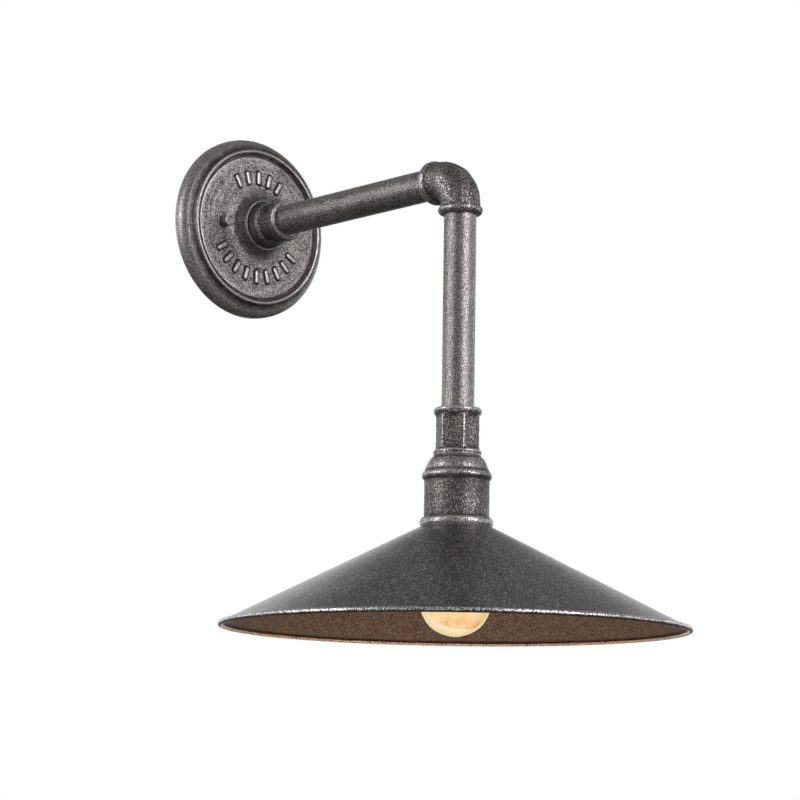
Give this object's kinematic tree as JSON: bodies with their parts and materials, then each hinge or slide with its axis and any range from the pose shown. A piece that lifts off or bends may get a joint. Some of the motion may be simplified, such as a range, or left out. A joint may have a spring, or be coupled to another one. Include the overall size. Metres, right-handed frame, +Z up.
{
  "type": "outdoor wall light",
  "caption": "Wall light with a round cast plate, a bent arm of threaded pipe, a wide cone shade and a screw-in bulb.",
  "frame": {"origin": "centre of the wall plate, on the plane of the wall", "axes": "+Z up, +Y into the wall, so the arm stands out along -Y and the shade hangs below it"},
  "size_m": [0.38, 0.4761, 0.459],
  "materials": {
    "aged_cast_metal": "dark cast metal with silver worn into its high spots",
    "aged_pipe": "dark speckled pipe with worn silver",
    "aged_shade": "charcoal spun sheet with a worn silver rim",
    "aged_fasteners": "dark steel with worn edges",
    "zinc_steel": "zinc plated",
    "green_screw": "green zinc plated",
    "foam_gasket": "matt black foam rubber",
    "dark_ring": "bronze black",
    "porcelain": "glazed white porcelain",
    "socket_brass": "bright brass",
    "black_wire": "black insulation",
    "white_wire": "white insulation",
    "bare_copper": "bare copper",
    "black_glass": "black base insulator",
    "amber_glass": "clear warm glass",
    "clear_glass": "clear glass",
    "filament_metal": "hot wire"
  },
  "bodies": {
    "fixture": {"wall_plate": "aged_cast_metal", "arm_collar": "aged_cast_metal", "elbow": "aged_cast_metal", "hex_coupling": "aged_cast_metal", "socket_cup": "aged_cast_metal", "arm_pipe": "aged_pipe", "drop_pipe": "aged_pipe", "shade": "aged_shade", "mounting_strap": "zinc_steel", "mounting_studs": "zinc_steel", "stud_lock_nuts": "zinc_steel", "hub_lock_nut": "zinc_steel", "ground_screw": "green_screw", "wall_gasket": "foam_gasket", "shade_gasket": "foam_gasket", "shade_retainer": "dark_ring", "lamp_socket": "porcelain", "screw_shell": "socket_brass", "centre_contact": "socket_brass", "socket_terminals": "socket_brass", "line_wire": "black_wire", "neutral_wire": "white_wire", "wire_cores": "bare_copper"},
    "bulb_tip": {"bulb_tip_contact": "socket_brass", "bulb_insulator": "black_glass"},
    "bulb": {"bulb_base": "socket_brass", "bulb_glass": "amber_glass", "bulb_stem": "clear_glass", "filament": "filament_metal", "filament_leads": "filament_metal", "filament_hooks": "filament_metal"},
    "washer_left": {"seal_washer_left": "foam_gasket"},
    "nut_left": {"cap_nut_left": "aged_fasteners"},
    "washer_right": {"seal_washer_right": "foam_gasket"},
    "nut_right": {"cap_nut_right": "aged_fasteners"}
  },
  "joints": [
    {"name": "bulb_travel", "type": "slide", "parent": "fixture", "child": "bulb_tip", "axis": [0, 0, -1], "range_m": [0, 0.01452]},
    {"name": "bulb_turn", "type": "hinge", "parent": "bulb_tip", "child": "bulb", "pos_m": [0, -0.2861, -0.297], "axis": [0, 0, -1], "range_deg": [0, 1440]},
    {"name": "left_nut_travel", "type": "slide", "parent": "fixture", "child": "washer_left", "axis": [0, -1, 0], "range_m": [0, 0.00476]},
    {"name": "left_nut_turn", "type": "hinge", "parent": "washer_left", "child": "nut_left", "pos_m": [-0.037, -0.0178, 0], "axis": [0, -1, 0], "range_deg": [0, 2160]},
    {"name": "right_nut_travel", "type": "slide", "parent": "fixture", "child": "washer_right", "axis": [0, -1, 0], "range_m": [0, 0.00476]},
    {"name": "right_nut_turn", "type": "hinge", "parent": "washer_right", "child": "nut_right", "pos_m": [0.037, -0.0178, 0], "axis": [0, -1, 0], "range_deg": [0, 2160]}
  ],
  "couplings": [
    {"joint": "bulb_turn", "follows": "bulb_travel", "rad_per_m": 1731.3},
    {"joint": "left_nut_turn", "follows": "left_nut_travel", "rad_per_m": 7913.3},
    {"joint": "right_nut_turn", "follows": "right_nut_travel", "rad_per_m": 7913.3}
  ]
}
